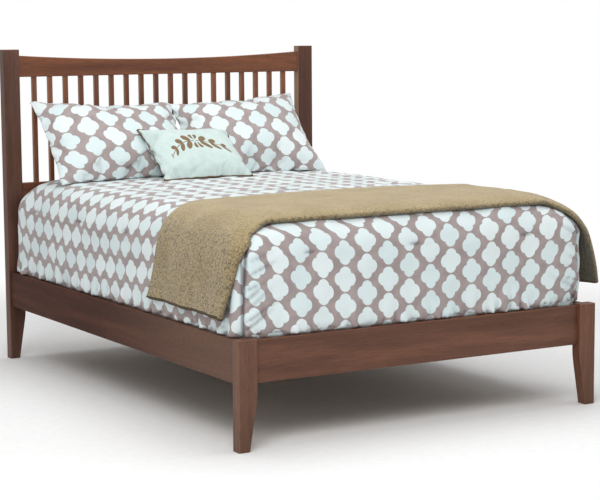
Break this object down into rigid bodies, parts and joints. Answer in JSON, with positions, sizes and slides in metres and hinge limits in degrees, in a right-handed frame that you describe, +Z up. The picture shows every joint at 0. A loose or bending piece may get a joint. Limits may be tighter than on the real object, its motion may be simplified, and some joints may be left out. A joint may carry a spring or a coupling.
{
  "type": "slatted bed",
  "caption": "Full size wooden slatted bed with straight tapered legs and an arched headboard, made up with mattress, comforter, pillows and throw.",
  "frame": {"origin": "on the floor under the middle of the mattress, at the underside of the centre leg's glide", "axes": "+Z up, +Y towards the headboard, +X to the right as seen from the foot end"},
  "size_m": [1.5964, 2.032, 1.283],
  "materials": {
    "post": "dark reddish brown stain, satin lacquer",
    "rail": "dark reddish brown stain, satin lacquer",
    "head_rail": "warm brown stain, satin lacquer",
    "slat": "warm brown stain, satin lacquer",
    "support_wood": "planed and unfinished",
    "steel": "zinc plated",
    "glide_plastic": "matte",
    "ticking": "woven ticking",
    "bedding_print": "smooth cotton, pale aqua lattice on taupe",
    "accent_cloth": "smooth cotton, pale aqua with a brown sprig",
    "throw_pile": "olive tan pile, brown bound hem"
  },
  "bodies": {
    "bed": {"head_post_left": "post", "head_post_right": "post", "foot_post_left": "post", "foot_post_right": "post", "foot_rail": "rail", "side_rail_left": "rail", "side_rail_right": "rail", "head_stretcher": "rail", "head_top_rail": "head_rail", "head_middle_rail": "head_rail", "head_slat_01": "slat", "head_slat_02": "slat", "head_slat_03": "slat", "head_slat_04": "slat", "head_slat_05": "slat", "head_slat_06": "slat", "head_slat_07": "slat", "head_slat_08": "slat", "head_slat_09": "slat", "head_slat_10": "slat", "head_slat_11": "slat", "head_slat_12": "slat", "head_slat_13": "slat", "head_slat_14": "slat", "head_slat_15": "slat", "head_slat_16": "slat", "head_slat_17": "slat", "head_slat_18": "slat", "cleat_left": "support_wood", "cleat_right": "support_wood", "centre_leg": "support_wood", "bed_slat_1": "support_wood", "bed_slat_2": "support_wood", "bed_slat_3": "support_wood", "bed_slat_4": "support_wood", "bed_slat_5": "support_wood", "hook_plate_foot_left": "steel", "hook_plate_foot_right": "steel", "hook_plate_head_left": "steel", "hook_plate_head_right": "steel", "slotted_plate_foot_left": "steel", "slotted_plate_foot_right": "steel", "slotted_plate_head_left": "steel", "slotted_plate_head_right": "steel", "glide_insert": "steel", "foundation": "ticking", "mattress": "ticking", "comforter": "bedding_print", "pillow_left": "bedding_print", "pillow_right": "bedding_print", "accent_pillow": "accent_cloth", "throw": "throw_pile"},
    "glide": {"glide_stud": "steel", "glide_pad": "glide_plastic"}
  },
  "joints": [
    {"name": "glide_screw", "type": "slide", "parent": "bed", "child": "glide", "axis": [0, 0, -1], "range_m": [-0.012, 0.018]}
  ]
}
